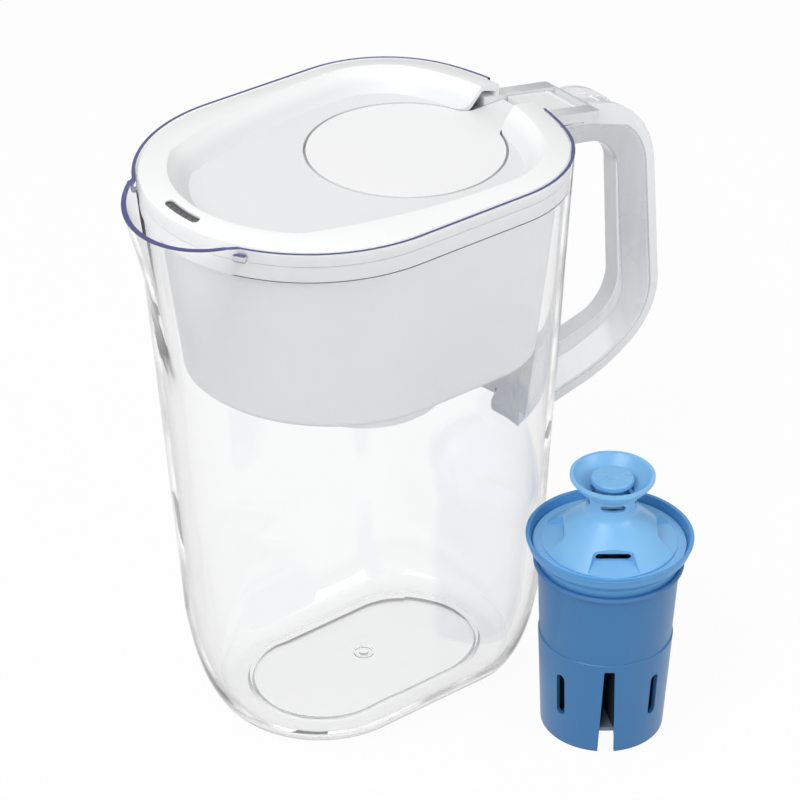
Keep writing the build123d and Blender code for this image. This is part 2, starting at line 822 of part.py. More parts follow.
# Lid shell: crowned ring, sunk basin with the door opening, skirt and the tongue's two rails
with BuildPart() as lid_shell:
    skirt_outline = jug_oval(ledge_height, lid_outline_inset)
    add(plan_sweep(Pos(0, 0, lid_low - ledge_height) * skirt_outline, lid_low, rim_height))
    loft(
        [
            Pos(0, 0, rim_height - ledge_height) * skirt_outline,
            Pos(0, 0, crown_height - ledge_height)
            * jug_oval(ledge_height, lid_outline_inset + crown_inset),
        ],
        ruled=True,
    )
    hollow = jug_oval(ledge_height, lid_outline_inset + skirt_wall)
    add(
        plan_sweep(
            Pos(0, 0, lid_low - ledge_height - cut_over) * hollow,
            lid_low - cut_over,
            rim_height - lid_thickness,
        ),
        mode=Mode.SUBTRACT,
    )
    loft(
        [
            Pos(0, 0, rim_height - lid_thickness - ledge_height) * hollow,
            Pos(0, 0, crown_height - lid_thickness - ledge_height)
            * jug_oval(ledge_height, lid_outline_inset + crown_inset),
        ],
        ruled=True,
        mode=Mode.SUBTRACT,
    )
    loft(
        [
            bowl_oval(bowl_floor - lid_thickness, lid_thickness),
            bowl_oval(crown_height - cut_over, lid_thickness),
        ],
        ruled=True,
    )
    loft(
        [bowl_oval(bowl_floor, 0), bowl_oval(crown_height + cut_over, 0)],
        ruled=True,
        mode=Mode.SUBTRACT,
    )
    # Seat that the closed door rests over, hung from the basin's floor
    with BuildSketch(Plane.XY.offset(seat_top - seat_thickness)) as seat:
        with Locations((door_centre, 0)):
            Circle(door_radius + door_gap + seat_wall)
    extrude(amount=bowl_floor - lid_thickness / 2 - seat_top + seat_thickness)
    with BuildSketch(Plane.XY.offset(seat_top - seat_thickness)) as seat_hole:
        with Locations((door_centre, 0)):
            Circle(door_radius - seat_width)
    extrude(amount=2 * lid_thickness, mode=Mode.SUBTRACT)
    # Rails that run out over the handle, tied at their ends
    add(tongue_block())
    # Door opening above the seat, arm channel and lever bay
    with BuildSketch(Plane.XY.offset(seat_top)) as door_hole:
        with Locations((door_centre, 0)):
            Circle(door_radius + door_gap)
        add(arm_channel())
        fillet(
            door_hole.vertices().filter_by(
                lambda vertex: door_centre < vertex.X < door_centre + door_radius + door_gap
            ),
            arm_flare - door_gap,
        )
    extrude(amount=through_depth, mode=Mode.SUBTRACT)
    with BuildSketch(Plane.XY.offset(seat_top - seat_thickness)) as arm_hole:
        add(arm_channel())
        with Locations((door_centre, 0)):
            Circle(door_radius - seat_width)
        fillet(
            arm_hole.vertices().filter_by(
                lambda vertex: door_centre < vertex.X < door_centre + door_radius
            ),
            arm_flare,
        )
    extrude(amount=through_depth, mode=Mode.SUBTRACT)
    with BuildSketch(Plane.XY.offset(seat_top - through_depth)) as low_channel:
        add(arm_channel())
    extrude(amount=2 * through_depth, mode=Mode.SUBTRACT)
    # Slot for the vent
    with BuildSketch(Plane.XY.offset(rim_height - lid_thickness - cut_over)) as vent_slot:
        with Locations((vent_x + vent_curve_radius, 0)):
            vent_angle = degrees(vent_half_length / vent_curve_radius)
            SlotArc(
                CenterArc((0, 0), vent_curve_radius, 180 - vent_angle, 2 * vent_angle),
                vent_width,
            )
    extrude(amount=through_depth, mode=Mode.SUBTRACT)
    # Bores for the hinge pins
    for pin_x, pin_height in (
        (hinge_x, hinge_height),
        (lever_pin_x, rail_top(lever_pin_x) - lever_pin_drop),
    ):
        with BuildSketch(Plane.XZ) as ear:
            with Locations((pin_x, pin_height)):
                Circle(knuckle_radius)
            with Locations((pin_x, (pin_height + rail_top(pin_x)) / 2)):
                Rectangle(2 * knuckle_radius, rail_top(pin_x) - pin_height - rail_cover)
        extrude(amount=tongue_half, both=True)
        with BuildSketch(Plane.XY.offset(pin_height - through_depth)) as bay:
            with Locations((pin_x, 0)):
                Rectangle(bay_length, arm_width + 2 * arm_gap)
        extrude(amount=2 * through_depth, mode=Mode.SUBTRACT)
        with BuildSketch(Plane.XZ) as pin_hole:
            with Locations((pin_x, pin_height)):
                Circle(hinge_pin_radius)
        extrude(amount=arm_width / 2 + arm_gap + pin_reach, both=True, mode=Mode.SUBTRACT)
lid_shell.part.label = "lid_shell"

# Vent insert: a dark curved strip in the slot, slit along a shallow recess
with BuildPart() as vent_insert:
    with BuildSketch(Plane.XY.offset(rim_height + vent_rise - vent_thickness)) as vent_plate:
        with Locations((vent_x + vent_curve_radius, 0)):
            SlotArc(
                CenterArc((0, 0), vent_curve_radius, 180 - vent_angle, 2 * vent_angle),
                vent_width - 2 * vent_clearance,
            )
    extrude(amount=vent_thickness)
    with BuildSketch(Plane.XY.offset(rim_height + vent_rise - vent_recess)) as vent_dish:
        with Locations((vent_x + vent_curve_radius, 0)):
            SlotArc(
                CenterArc((0, 0), vent_curve_radius, 180 - vent_angle, 2 * vent_angle),
                vent_width - 2 * vent_border,
            )
    extrude(amount=vent_recess, mode=Mode.SUBTRACT)
    with BuildSketch(Plane.XY.offset(rim_height + vent_rise - vent_thickness)) as slits:
        with Locations((vent_x + vent_curve_radius, 0)):
            for slit in range(vent_slits):
                slit_turn = ((slit + 0.5) / vent_slits * 2 - 1) * vent_angle
                with Locations(
                    Location(
                        (
                            -vent_curve_radius * cos(radians(slit_turn)),
                            vent_curve_radius * sin(radians(slit_turn)),
                        ),
                        -slit_turn,
                    )
                ):
                    Rectangle(vent_width - 4 * vent_border, vent_slit_width)
    extrude(amount=vent_thickness, mode=Mode.SUBTRACT)
vent_insert.part.label = "vent_insert"

# Fill door: a rimmed disc on an arm, with knuckles and a tail at its hinge
door_top = bowl_floor
tail_top = door_top - door_thickness - tail_drop
with BuildPart() as fill_door:
    with BuildSketch(Plane.XY.offset(door_top - door_thickness)) as door_plan:
        with Locations((door_centre, 0)):
            Circle(door_radius)
        with Locations(((door_centre + arm_end) / 2, 0)):
            Rectangle(arm_end - door_centre, arm_width)
        fillet(
            door_plan.vertices().filter_by(
                lambda vertex: door_centre < vertex.X < door_centre + door_radius
            ),
            arm_flare,
        )
    extrude(amount=door_thickness)
    with BuildSketch(Plane.XY.offset(door_top - door_thickness - door_rim_depth)) as door_rim:
        with Locations((door_centre, 0)):
            Circle(door_radius - door_rim_inset)
            Circle(door_radius - door_rim_inset - door_rim_wall, mode=Mode.SUBTRACT)
    extrude(amount=door_rim_depth)
    for side in (-1, 1):
        with BuildSketch(Plane.XZ.offset(-side * (arm_width / 2 - knuckle_width))) as knuckle:
            with Locations((hinge_x, hinge_height)):
                Circle(knuckle_radius)
        extrude(amount=-side * knuckle_width)
    with BuildSketch(Plane.XZ) as door_bore:
        with Locations((hinge_x, hinge_height)):
            Circle(hinge_pin_radius + hinge_bore_clearance)
    extrude(amount=arm_width, both=True, mode=Mode.SUBTRACT)
    # Tail between the knuckles, which the lever's lip presses down
    with BuildSketch(Plane.XZ) as tail:
        with BuildLine():
            Polyline(
                (hinge_x - tail_root, tail_top + tail_drop),
                (arm_end, tail_top + tail_drop),
                (hinge_x + tail_length, tail_top),
                (hinge_x + tail_length, tail_top - tail_thickness),
                (hinge_x - tail_root, tail_top - tail_thickness),
                close=True,
            )
        make_face()
    extrude(amount=tail_half_width, both=True)
fill_door.part.label = "fill_door"


def short_pins(pin_x, pin_height, inward):
    """Two short pins on one axis, each from its rail into the moving piece."""
    pins = []
    for side in (-1, 1):
        start = arm_width / 2 + arm_gap + pin_reach
        with BuildPart() as pin:
            with BuildSketch(Plane.XZ.offset(-side * start)) as pin_end:
                with Locations((pin_x, pin_height)):
                    Circle(hinge_pin_radius)
            extrude(amount=side * (start - arm_width / 2 + inward))
        pins.append(pin.part)
    return pins


with BuildPart() as door_hinge_pins:
    for pin in short_pins(hinge_x, hinge_height, knuckle_width):
        add(pin)
door_hinge_pins.part.label = "door_hinge_pins"

lever_pin_height = rail_top(lever_pin_x) - lever_pin_drop
lever_lip_height = tail_top + lever_lip_gap

# Thumb lever: a sloping plate whose front lip bears on the door's tail
with BuildPart() as thumb_lever:
    with BuildSketch(Plane.XZ) as lever_side:
        with BuildLine():
            Polyline(
                (lever_front, bowl_floor + lever_rise),
                (lever_back, rail_top(lever_back) - lever_sink),
                (lever_back, rail_top(lever_back) - lever_sink - lever_thickness),
                (lever_front + lever_rib, bowl_floor + lever_rise - lever_thickness),
                (lever_front + lever_rib, lever_lip_height),
                (lever_front, lever_lip_height),
                close=True,
            )
        make_face()
    extrude(amount=arm_width / 2, both=True)
    with BuildSketch(Plane.XZ) as lever_knuckle:
        with Locations((lever_pin_x, lever_pin_height)):
            Circle(knuckle_radius - rail_gap)
    extrude(amount=arm_width / 2, both=True)
    with BuildSketch(Plane.XZ) as lever_bore:
        with Locations((lever_pin_x, lever_pin_height)):
            Circle(hinge_pin_radius + hinge_bore_clearance)
    extrude(amount=arm_width, both=True, mode=Mode.SUBTRACT)
thumb_lever.part.label = "thumb_lever"

with BuildPart() as lever_pins:
    for pin in short_pins(lever_pin_x, lever_pin_height, knuckle_width):
        add(pin)
lever_pins.part.label = "lever_pins"

lip_under_height = lip_height - lip_depth
dome_height = lip_height - dome_drop
neck_low = lip_height + neck_rise
dome_waist_height = dome_height + (neck_low - dome_height) * dome_waist_share
dome_throat_height = dome_height + (neck_low - dome_height) * dome_throat_share
knob_low = neck_low + neck_length
knob_height = knob_low + knob_depth
knob_bowl_height = knob_low + knob_bowl_rise
window_low = neck_low + window_rise
scoop_floor = dome_height + scoop_rise
seal_height = lip_under_height - seal_drop

# Cartridge pieces are drawn on their own axis and then set beside the jug
cartridge_place = Location((cartridge_x, cartridge_y, 0), (0, 0, notch_azimuth))


def shell_radius(height):
    """Outer radius of the cartridge's tapered cup."""
    if height <= seam_height:
        return shell_base_radius + (shell_seam_radius - shell_base_radius) * height / seam_height
    share = (height - seam_height) / (lip_under_height - seam_height)
    return shell_seam_radius - seam_step + (shell_top_radius - shell_seam_radius + seam_step) * share


# Cartridge cup: tapered walls, a seam step, a flared lip and a notched, slotted skirt
with BuildPart() as cartridge_shell:
    with BuildSketch(Plane.XZ) as shell_profile:
        with BuildLine():
            Polyline(
                (shell_radius(0), 0),
                (shell_radius(seam_height), seam_height),
                (shell_radius(seam_height) - seam_step, seam_height + seam_slope),
                (shell_radius(lip_under_height), lip_under_height),
                (lip_radius - lip_band, lip_under_height + lip_band_rise),
                (lip_radius - lip_bead, lip_height - lip_bead_height),
                (lip_radius, lip_height - lip_edge),
                (lip_radius, lip_height),
                (lip_radius - shell_wall, lip_height),
                (lip_radius - shell_wall - lip_band, lip_height - dish_depth),
                (shell_radius(lip_under_height) - shell_wall, lip_height - dish_depth),
                (shell_radius(lip_under_height) - shell_wall, lip_under_height),
                (shell_radius(seam_height) - shell_wall - seam_step, seam_height),
                (shell_radius(0) - shell_wall, 0),
                close=True,
            )
        make_face()
    revolve(axis=Axis.Z)
    with BuildSketch(Plane.XY.offset(media_floor - cap_plate)) as web:
        Circle(shell_radius(media_floor) - shell_wall + web_bite)
        Circle(tube_radius - tube_wall, mode=Mode.SUBTRACT)
    extrude(amount=cap_plate - stack_gap)
    # Notches at the front and back of the skirt, wider at the foot
    with BuildSketch(Plane.YZ) as skirt_notch:
        with BuildLine():
            Polyline(
                (-gap_low_width / 2, -cut_over),
                (gap_low_width / 2, -cut_over),
                (gap_top_width / 2, gap_top),
                (-gap_top_width / 2, gap_top),
                close=True,
            )
        make_face()
        fillet(skirt_notch.vertices().group_by(Axis.Z)[-1], gap_round)
    extrude(amount=shell_seam_radius + cut_over, both=True, mode=Mode.SUBTRACT)
    with PolarLocations(0, skirt_slots, start_angle=180 / skirt_slots):
        slot_cut = 4 * (seam_step + shell_wall)
        slot_straight = slot_high - slot_low - slot_width
        with Locations((shell_base_radius, 0, (slot_low + slot_high) / 2)):
            Box(slot_cut, slot_width, slot_straight, mode=Mode.SUBTRACT)
        for end in (slot_low + slot_width / 2, slot_high - slot_width / 2):
            with Locations(Location((shell_base_radius, 0, end), (0, 90, 0))):
                Cylinder(slot_width / 2, slot_cut, mode=Mode.SUBTRACT)
cartridge_shell.part = cartridge_shell.part.moved(cartridge_place)
cartridge_shell.part.label = "cartridge_shell"

dish_floor = lip_height - dish_depth
cap_low = dish_floor + cap_seat
knob_floor = knob_low + knob_wall


def tent_solid(inset):
    """Solid under the cap's flared tent and in its neck, drawn in by an inset."""
    slant = inset / sqrt(2)
    with BuildPart() as tent:
        with BuildSketch(Plane.XZ) as tent_profile:
            with BuildLine():
                Polyline(
                    (neck_radius - inset, neck_low),
                    (neck_radius - inset, knob_floor),
                    (0, knob_floor),
                    (0, cap_low),
                    (dome_radius - inset, cap_low),
                    (dome_radius - inset, dome_height - inset),
                )
                Spline(
                    (dome_radius - inset, dome_height - inset),
                    (dome_waist_radius - slant, dome_waist_height - slant),
                    (dome_throat_radius - slant, dome_throat_height - slant),
                    (neck_radius - inset, neck_low),
                    tangents=[(-1, 0.9), (0, 1)],
                )
            make_face()
        revolve(axis=Axis.Z)
    return tent.part


def scoop_wedge(grow):
    """Upright wedge of one scoop: narrow at its slot, wide at the dome's foot."""
    with BuildSketch(Plane.XY.offset(cap_low)) as wedge_plan:
        with BuildLine():
            Polyline(
                (scoop_radius - grow, -scoop_half_width - grow),
                (dome_radius + cut_over, -scoop_foot_half_width - grow),
                (dome_radius + cut_over, scoop_foot_half_width + grow),
                (scoop_radius - grow, scoop_half_width + grow),
                close=True,
            )
        make_face()
    return extrude(wedge_plan.sketch, amount=neck_low - cap_low, mode=Mode.PRIVATE)


def scoop_air(drop):
    """Space above a scoop's sloping floor, or above that floor's underside."""
    with BuildSketch(Plane.XZ) as air_side:
        with BuildLine():
            Polyline(
                (0, scoop_floor - drop),
                (scoop_radius, scoop_floor - drop),
                (dome_radius + cut_over, dome_height - scoop_foot_drop - drop),
                (dome_radius + cut_over, neck_low),
                (0, neck_low),
                close=True,
            )
        make_face()
    return extrude(air_side.sketch, amount=dome_radius, both=True, mode=Mode.PRIVATE)


inner_tent = tent_solid(dome_wall)
cap_hollow = inner_tent
scoops = []
scoop_pockets = []
for index in range(scoop_count):
    scoop_turn = Rot(0, 0, 360 / scoop_count * index)
    cap_hollow = cap_hollow - scoop_turn * scoop_wedge(scoop_wall)
    scoops.append(scoop_turn * (scoop_wedge(0) & scoop_air(0)))
    scoop_pockets.append(scoop_turn * (scoop_wedge(0) - scoop_air(scoop_wall)) & inner_tent)

# Cartridge cap: a flared tent with scooped water slots, a windowed neck and a dished knob
with BuildPart() as cartridge_cap:
    add(tent_solid(0.0))
    with BuildSketch(Plane.XY.offset(cap_low)) as cap_flange:
        Circle(lip_radius - shell_wall - cap_flange_gap)
    extrude(amount=cap_flange_thickness)
    # Knob: a bowl whose underside springs from the neck
    with BuildSketch(Plane.XZ) as knob_profile:
        with BuildLine():
            ThreePointArc(
                (neck_radius, knob_low),
                (knob_bowl_radius, knob_bowl_height),
                (knob_radius, knob_height - knob_edge),
            )
            Polyline(
                (knob_radius, knob_height - knob_edge),
                (knob_radius, knob_height),
                (knob_radius - knob_lip, knob_height),
            )
            ThreePointArc(
                (knob_radius - knob_lip, knob_height),
                (knob_bowl_radius - knob_lip, knob_bowl_height + knob_wall),
                (neck_radius - neck_wall, knob_floor),
            )
            Polyline(
                (neck_radius - neck_wall, knob_floor),
                (neck_radius - neck_wall, knob_low),
                (neck_radius, knob_low),
            )
        make_face()
    revolve(axis=Axis.Z)
    add(cap_hollow, mode=Mode.SUBTRACT)
    add(scoops, mode=Mode.SUBTRACT)
    add(scoop_pockets, mode=Mode.SUBTRACT)
    # Slots in the scoops' low walls and windows in the neck
    for index in range(scoop_count):
        face_plane = Plane.YZ.rotated((0, 0, 360 / scoop_count * index))
        with BuildSketch(face_plane) as water_openings:
            with Locations((0, scoop_floor + scoop_slot_height / 2 + scoop_slot_sill)):
                SlotOverall(scoop_slot_width, scoop_slot_height)
            with Locations((0, window_low + window_height / 2)):
                SlotOverall(window_width, window_height)
        extrude(amount=scoop_radius + scoop_wall, mode=Mode.SUBTRACT)
    # Curved slots in the dish beside the lip
    with BuildSketch(Plane.XY.offset(cap_low - cut_over)) as dish_slots:
        for start in (0, 180):
            SlotArc(
                CenterArc(
                    (0, 0), crescent_radius, start - crescent_half_angle, 2 * crescent_half_angle
                ),
                crescent_width,
            )
    extrude(amount=cap_flange_thickness + 2 * cut_over, mode=Mode.SUBTRACT)
cartridge_cap.part = cartridge_cap.part.moved(cartridge_place)
cartridge_cap.part.label = "cartridge_cap"

# Button in the knob, on a stem that ribs hold in the neck
with BuildPart() as knob_button:
    with BuildSketch(Plane.XY.offset(knob_height - button_drop - button_thickness)) as button_face:
        Circle(button_radius)
    extrude(amount=button_thickness)
    fillet(knob_button.faces().sort_by(Axis.Z)[-1].edges(), button_round)
    with BuildSketch(Plane.XY.offset(window_low - stem_drop)) as stem:
        Circle(stem_radius)
    extrude(amount=knob_height - button_drop - button_thickness - window_low + stem_drop)
    with BuildSketch(Plane.XY.offset(window_low - stem_drop)) as stem_ribs:
        with PolarLocations(0, stem_rib_count, start_angle=90 / stem_rib_count):
            Rectangle(2 * (neck_radius - neck_wall - rib_clearance), stem_rib)
    extrude(amount=knob_floor - window_low + stem_drop)
knob_button.part = knob_button.part.moved(cartridge_place)
knob_button.part.label = "knob_button"

# Seal ring under the lip
with BuildPart() as seal_ring:
    with BuildSketch(Plane.XZ) as seal_profile:
        with Locations((shell_radius(seal_height) + seal_section - seal_bite, seal_height)):
            Circle(seal_section)
    revolve(axis=Axis.Z)
    add(
        cartridge_shell.part.moved(cartridge_place.inverse()),
        mode=Mode.SUBTRACT,
    )
seal_ring.part = seal_ring.part.moved(cartridge_place)
seal_ring.part.label = "seal_ring"

pleat_low = media_floor + cap_plate
pleat_high = lip_under_height - pleat_headroom

# Pleated filter sheet wound round the core tube
with BuildPart() as filter_pleats:
    with BuildSketch(Plane.XY.offset(pleat_low)) as pleats:
        outer_points = []
        inner_points = []
        for index in range(pleat_count):
            valley = 2 * pi * index / pleat_count
            crest = valley + pi / pleat_count
            outer_points.append((pleat_inner * cos(valley), pleat_inner * sin(valley)))
            outer_points.append((pleat_outer * cos(crest), pleat_outer * sin(crest)))
        with BuildLine():
            Polyline(*outer_points, close=True)
        make_face()
        with BuildLine(mode=Mode.PRIVATE) as hollow_line:
            for index in range(pleat_count):
                valley = 2 * pi * index / pleat_count
                crest = valley + pi / pleat_count
                inner_points.append(
                    ((pleat_inner - pleat_sheet) * cos(valley), (pleat_inner - pleat_sheet) * sin(valley))
                )
                inner_points.append(
                    (
                        (pleat_outer - pleat_crest) * cos(crest),
                        (pleat_outer - pleat_crest) * sin(crest),
                    )
                )
            Polyline(*inner_points, close=True)
        add(make_face(hollow_line.edges(), mode=Mode.PRIVATE), mode=Mode.SUBTRACT)
    extrude(amount=pleat_high - pleat_low)
filter_pleats.part = filter_pleats.part.moved(cartridge_place)
filter_pleats.part.label = "filter_pleats"

# Perforated tube that the water leaves by
with BuildPart() as core_tube:
    with BuildSketch(Plane.XY.offset(pleat_low)) as tube_ring:
        Circle(tube_radius)
        Circle(tube_radius - tube_wall, mode=Mode.SUBTRACT)
    extrude(amount=pleat_high - pleat_low)
    row_pitch = (pleat_high - pleat_low) / (tube_rows + 1)
    for row in range(tube_rows):
        with PolarLocations(0, tube_holes):
            with Locations(Location((tube_radius, 0, pleat_low + (row + 1) * row_pitch), (0, 90, 0))):
                Cylinder(tube_hole_radius, 2 * (tube_wall + cut_over), mode=Mode.SUBTRACT)
core_tube.part = core_tube.part.moved(cartridge_place)
core_tube.part.label = "core_tube"


def end_cap(name, low, hole):
    """Plate that closes one end of the pleats."""
    with BuildPart() as plate:
        with BuildSketch(Plane.XY.offset(low)) as disc:
            Circle(shell_radius(low) - shell_wall - seam_step - media_clearance)
            if hole:
                Circle(tube_radius - tube_wall, mode=Mode.SUBTRACT)
        extrude(amount=cap_plate - stack_gap)
    plate.part = plate.part.moved(cartridge_place)
    plate.part.label = name
    return plate.part


filter_end_cap_low = end_cap("filter_end_cap_low", media_floor, True)
filter_end_cap_top = end_cap("filter_end_cap_top", pleat_high + stack_gap / 2, False)

# Mesh screen that keeps the water's entry clean
with BuildPart() as inlet_screen:
    with BuildSketch(Plane.XY.offset(lip_under_height)) as screen:
        Circle(shell_radius(lip_under_height) - shell_wall - media_clearance)
        with HexLocations(screen_pitch, screen_rows, screen_rows):
            Circle(screen_hole, mode=Mode.SUBTRACT)
    extrude(amount=screen_thickness)
inlet_screen.part = inlet_screen.part.moved(cartridge_place)
inlet_screen.part.label = "inlet_screen"

for piece, name in (
    (pitcher_body.part, "pitcher_body"),
    (handle_core.part, "handle_core"),
    (handle_cover.part, "handle_cover"),
    (handle_grip.part, "handle_grip"),
    (reservoir.part, "reservoir"),
    (lid_shell.part, "lid_shell"),
    (vent_insert.part, "vent_insert"),
    (fill_door.part, "fill_door"),
    (door_hinge_pins.part, "door_hinge_pins"),
    (thumb_lever.part, "thumb_lever"),
    (lever_pins.part, "lever_pins"),
    (cartridge_shell.part, "cartridge_shell"),
    (cartridge_cap.part, "cartridge_cap"),
    (knob_button.part, "knob_button"),
    (seal_ring.part, "seal_ring"),
    (filter_pleats.part, "filter_pleats"),
    (core_tube.part, "core_tube"),
    (filter_end_cap_low, "filter_end_cap_low"),
    (filter_end_cap_top, "filter_end_cap_top"),
    (inlet_screen.part, "inlet_screen"),
):
    export_step(piece, "parts/" + name + ".step")
    print(name, len(piece.solids()), round(piece.volume))
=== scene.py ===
# %% [markdown]
# A water filter pitcher: a clear jug with a strap handle, a white reservoir and lid inside its
# rim, and one blue filter cartridge that stands beside it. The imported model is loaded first. It
# carries the true shapes and sizes, and everything in this lesson is placed from it, in metres.

# %% Load the model and note its box
from math import cos, radians, sin

import bmesh
import bpy
import numpy
from mathutils import Matrix, Vector
from mathutils.kdtree import KDTree


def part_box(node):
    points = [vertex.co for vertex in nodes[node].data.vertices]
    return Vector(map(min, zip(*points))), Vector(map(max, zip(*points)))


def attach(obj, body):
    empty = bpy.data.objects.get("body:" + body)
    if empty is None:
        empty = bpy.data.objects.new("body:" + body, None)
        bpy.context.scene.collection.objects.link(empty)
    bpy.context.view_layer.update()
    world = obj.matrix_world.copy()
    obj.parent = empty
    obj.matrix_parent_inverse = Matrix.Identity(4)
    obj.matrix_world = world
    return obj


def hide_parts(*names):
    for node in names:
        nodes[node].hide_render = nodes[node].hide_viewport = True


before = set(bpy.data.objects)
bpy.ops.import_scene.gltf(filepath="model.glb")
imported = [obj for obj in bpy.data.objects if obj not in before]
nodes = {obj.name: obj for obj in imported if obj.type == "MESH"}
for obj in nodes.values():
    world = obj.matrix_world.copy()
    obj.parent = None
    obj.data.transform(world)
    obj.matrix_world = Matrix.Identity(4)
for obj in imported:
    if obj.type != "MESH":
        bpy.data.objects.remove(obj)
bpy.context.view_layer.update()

# %% [markdown]
# The camera stands where the photographer stood. A long lens of about 148 mm looks down at the
# pitcher from the spout's right side. The aim is a point beside the jug's axis, which puts the
# pitcher left of the frame's middle without any lens shift.

# %% Camera
VIEW_AZIMUTH = radians(-37.66)
VIEW_ELEVATION = radians(32.35)
VIEW_ROLL = radians(0.16)
VIEW_DISTANCE = 1.3968
AIM_HEIGHT = 0.130
FOCAL_PIXELS = 3300
PICTURE_PIXELS = 800
SENSOR_WIDTH = 36
AIM_RIGHT = 50.66 / FOCAL_PIXELS
AIM_UP = 21.58 / FOCAL_PIXELS

back = Vector(
    (
        sin(VIEW_AZIMUTH) * cos(VIEW_ELEVATION),
        -cos(VIEW_AZIMUTH) * cos(VIEW_ELEVATION),
        sin(VIEW_ELEVATION),
    )
)
level_right = Vector((cos(VIEW_AZIMUTH), sin(VIEW_AZIMUTH), 0))
level_up = back.cross(level_right)
right = level_right * cos(VIEW_ROLL) - level_up * sin(VIEW_ROLL)
up = level_right * sin(VIEW_ROLL) + level_up * cos(VIEW_ROLL)

toward = (-back + right * AIM_RIGHT + up * AIM_UP).normalized()
camera_right = (right - toward * right.dot(toward)).normalized()
camera_up = camera_right.cross(toward)

lens = bpy.data.cameras.new("studio_camera")
lens.sensor_width = SENSOR_WIDTH
lens.lens = SENSOR_WIDTH * FOCAL_PIXELS / PICTURE_PIXELS
lens.clip_start = 0.05
camera = bpy.data.objects.new("studio_camera", lens)
turn = Matrix((camera_right, camera_up, -toward)).transposed().to_4x4()
place = Matrix.Translation(Vector((0, 0, AIM_HEIGHT)) + back * VIEW_DISTANCE)
camera.matrix_world = place @ turn
bpy.context.scene.collection.objects.link(camera)
bpy.context.scene.camera = camera
print("lens:", round(lens.lens, 1), "mm at", [round(value, 3) for value in camera.location])

# %% [markdown]
# Clear plastic only shows by what it bends and mirrors. Product photographers light it in front
# of a white field of limited size: through the middle of the jug the eye meets the white field,
# and at the edges, where light is bent far aside, it meets the darker room beyond. So the floor
# is a white disc that looks white to the camera and to rays through plastic, and the world is
# white to the camera but darkens towards the horizon for mirrored and bent rays. Lamps don't
# reach through refracting walls in a path tracer, so light that has left a matt surface and then
# passes a clear wall meets a brighter room, which stands for the lamps it would have met.

# %% Floor disc and surrounding room
FLOOR_RADIUS = 1.3
FLOOR_SIDES = 96
FLOOR_GREY = 0.80
FLOOR_GAP = 0.0002
FLOOR_SHOWN = 0.95
ROOM_ABOVE = 0.74
ROOM_TOP = 0.9
ROOM_AROUND = 0.42
BRIGHT_SIDE = (-0.79, 0.61, 0.0)
BRIGHT_SIDE_SHARE = 1.7
DIM_SIDE_SHARE = 0.3
ROOM_THROUGH_WALLS = 1.15
MIRRORED_DARK = (0.10, 0.12)
MIRRORED_WHITE = (0.42, 0.95)

bpy.context.scene.view_settings.view_transform = "Standard"


def link(tree, source, target):
    """Join an output socket to an input socket."""
    tree.links.new(source, target)


def combine(tree, operation, first, second):
    """Join two values, or a value and a number, with a math node."""
    node = tree.nodes.new("ShaderNodeMath")
    node.operation = operation
    for socket, value in zip(node.inputs, (first, second)):
        if isinstance(value, (int, float)):
            socket.default_value = value
        else:
            link(tree, value, socket)
    return node.outputs[0]


def seen_rays(tree):
    """1 for camera, mirrored and transmitted rays, 0 for the light that falls on the object."""
    path = tree.nodes.new("ShaderNodeLightPath")
    eye, mirror = path.outputs["Is Camera Ray"], path.outputs["Is Glossy Ray"]
    eye_or_mirror = combine(tree, "MAXIMUM", eye, mirror)
    return path, combine(tree, "MAXIMUM", eye_or_mirror, path.outputs["Is Transmission Ray"])


floor_mesh = bpy.data.meshes.new("floor")
disc = bmesh.new()
bmesh.ops.create_circle(disc, cap_ends=True, segments=FLOOR_SIDES, radius=FLOOR_RADIUS)
disc.to_mesh(floor_mesh)
disc.free()
floor = bpy.data.objects.new("floor", floor_mesh)
floor.location.z = -FLOOR_GAP
bpy.context.scene.collection.objects.link(floor)

floor_finish = bpy.data.materials.new("pale_floor")
floor_finish.use_nodes = True
tree = floor_finish.node_tree
tree.nodes.clear()
matt = tree.nodes.new("ShaderNodeBsdfDiffuse")
matt.inputs["Color"].default_value = (FLOOR_GREY, FLOOR_GREY, FLOOR_GREY, 1)
glow = tree.nodes.new("ShaderNodeEmission")
glow.inputs["Color"].default_value = (1, 1, 1, 1)
blend = tree.nodes.new("ShaderNodeMixShader")
surface = tree.nodes.new("ShaderNodeOutputMaterial")
link(tree, combine(tree, "MULTIPLY", seen_rays(tree)[1], FLOOR_SHOWN), blend.inputs[0])
link(tree, matt.outputs[0], blend.inputs[1])
link(tree, glow.outputs[0], blend.inputs[2])
link(tree, blend.outputs[0], surface.inputs["Surface"])
floor_mesh.materials.append(floor_finish)

room = bpy.data.worlds.new("studio_room")
bpy.context.scene.world = room
room.use_nodes = True
tree = room.node_tree
tree.nodes.clear()
direction = tree.nodes.new("ShaderNodeTexCoord")
parts = tree.nodes.new("ShaderNodeSeparateXYZ")
link(tree, direction.outputs["Generated"], parts.inputs[0])
path, seen = seen_rays(tree)
first_hit = combine(tree, "LESS_THAN", path.outputs["Diffuse Depth"], 0.5)


def height_ramp(low, high):
    """A grey that goes from one level at a height to another at a greater height."""
    ramp = tree.nodes.new("ShaderNodeValToRGB")
    for stop, (height, level) in zip(ramp.color_ramp.elements, (low, high)):
        stop.position = height
        stop.color = (level, level, level, 1)
    link(tree, parts.outputs["Z"], ramp.inputs["Fac"])
    return ramp.outputs["Color"]


def background(colour, strength=1.0):
    """A background shader of a linked colour, or of a plain grey."""
    node = tree.nodes.new("ShaderNodeBackground")
    if isinstance(colour, (int, float)):
        node.inputs["Color"].default_value = (colour, colour, colour, 1)
    else:
        link(tree, colour, node.inputs["Color"])
    node.inputs["Strength"].default_value = strength
    return node.outputs[0]


